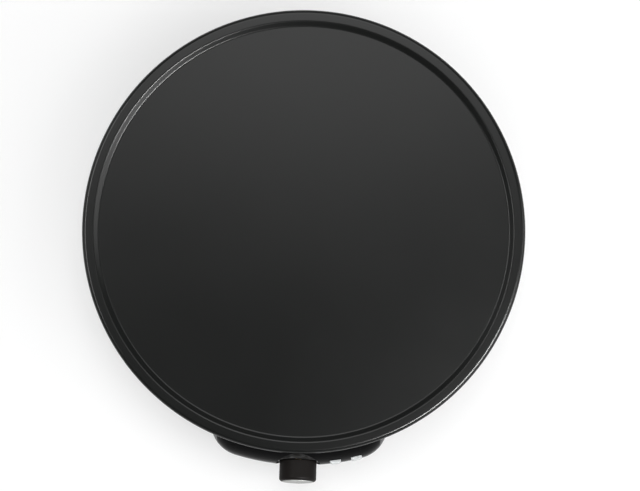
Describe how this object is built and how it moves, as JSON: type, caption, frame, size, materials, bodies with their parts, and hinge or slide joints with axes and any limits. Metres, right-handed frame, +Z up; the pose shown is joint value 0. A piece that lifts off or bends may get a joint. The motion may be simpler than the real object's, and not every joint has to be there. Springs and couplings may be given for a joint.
{
  "type": "electric crepe maker",
  "caption": "Low round electric crepe maker: dark flat baking plate with a raised rim over a black bowl-shaped base, and a front pod with a tilted temperature knob and clear pilot lamps.",
  "frame": {"origin": "on the table, under the middle of the whole object: halfway between the knob's front and the plate's rear edge, on the plane that the feet stand on", "axes": "+Z up; -Y towards the cook, where the control pod is; +X to the right seen from the front"},
  "size_m": [0.3799, 0.4132, 0.082],
  "materials": {
    "non_stick_plate": "dark grey non-stick coating, fine satin grain",
    "heater_sheath": "drawn steel sheath",
    "ceramic_white": "plain fired ceramic",
    "nickel_pins": "nickel plated",
    "sleeve_plastic": "heat-resistant sleeve",
    "zinc_steel": "zinc-plated pressed steel",
    "screw_steel": "zinc-plated screws",
    "shield_aluminised": "aluminised sheet",
    "copper": "bare copper",
    "brass": "plain brass",
    "housing_black": "satin black moulding with a light grain",
    "fascia_gloss": "gloss black panel",
    "ring_black": "satin black",
    "knob_black": "satin black",
    "cap_silver": "silver disc with turned grain",
    "mark_white": "white inlay",
    "thermostat_phenolic": "dark brown moulding",
    "lens_clear": "clear moulded lens",
    "neon_glass": "thin glass",
    "wire_white": "silicone insulation",
    "wire_brown": "silicone insulation",
    "wire_blue": "silicone insulation",
    "wire_green": "green and yellow silicone insulation",
    "fuse_metal": "plain metal can",
    "rubber_black": "matt black rubber"
  },
  "bodies": {
    "base": {"baking_plate": "non_stick_plate", "heating_element": "heater_sheath", "element_seals": "ceramic_white", "element_pins": "nickel_pins", "element_connectors": "sleeve_plastic", "element_clamps": "zinc_steel", "clamp_screws": "screw_steel", "sensing_bulb": "copper", "bulb_clip": "zinc_steel", "bulb_clip_screws": "screw_steel", "capillary_tube": "copper", "heat_shield": "shield_aluminised", "plate_spacers": "zinc_steel", "plate_washers": "zinc_steel", "plate_screws": "screw_steel", "base_housing": "housing_black", "front_fascia": "fascia_gloss", "fascia_screws": "screw_steel", "dial_ring": "ring_black", "thermostat_bush": "brass", "thermostat_bracket": "zinc_steel", "thermostat_cover": "zinc_steel", "thermostat_base": "thermostat_phenolic", "thermostat_diaphragm": "copper", "thermostat_contacts": "brass", "thermostat_terminals": "brass", "thermostat_screws": "screw_steel", "push_on_connectors": "sleeve_plastic", "pilot_lens_left": "lens_clear", "pilot_lens_right": "lens_clear", "neon_bulbs": "neon_glass", "lamp_retainers": "zinc_steel", "lamp_wires": "wire_white", "terminal_block": "ceramic_white", "terminal_inserts": "brass", "terminal_screws": "screw_steel", "block_screws": "screw_steel", "thermal_fuse": "fuse_metal", "fuse_sleeve": "sleeve_plastic", "wire_live": "wire_brown", "wire_neutral": "wire_blue", "wire_heater": "wire_brown", "wire_earth": "wire_green", "earth_tag": "brass", "earth_screw": "screw_steel", "cord_inlet_bush": "rubber_black", "foot_front_left": "rubber_black", "foot_front_right": "rubber_black", "foot_rear_left": "rubber_black", "foot_rear_right": "rubber_black", "foot_screws": "screw_steel"},
    "knob": {"knob": "knob_black", "knob_cap": "cap_silver", "knob_pointer": "mark_white", "knob_spring_clip": "brass", "thermostat_spindle": "brass"}
  },
  "joints": [
    {"name": "knob_turn", "type": "hinge", "parent": "base", "child": "knob", "pos_m": [0, -0.18856, 0.05017], "axis": [0, 0.9553, -0.2957], "range_deg": [0, 270]}
  ]
}
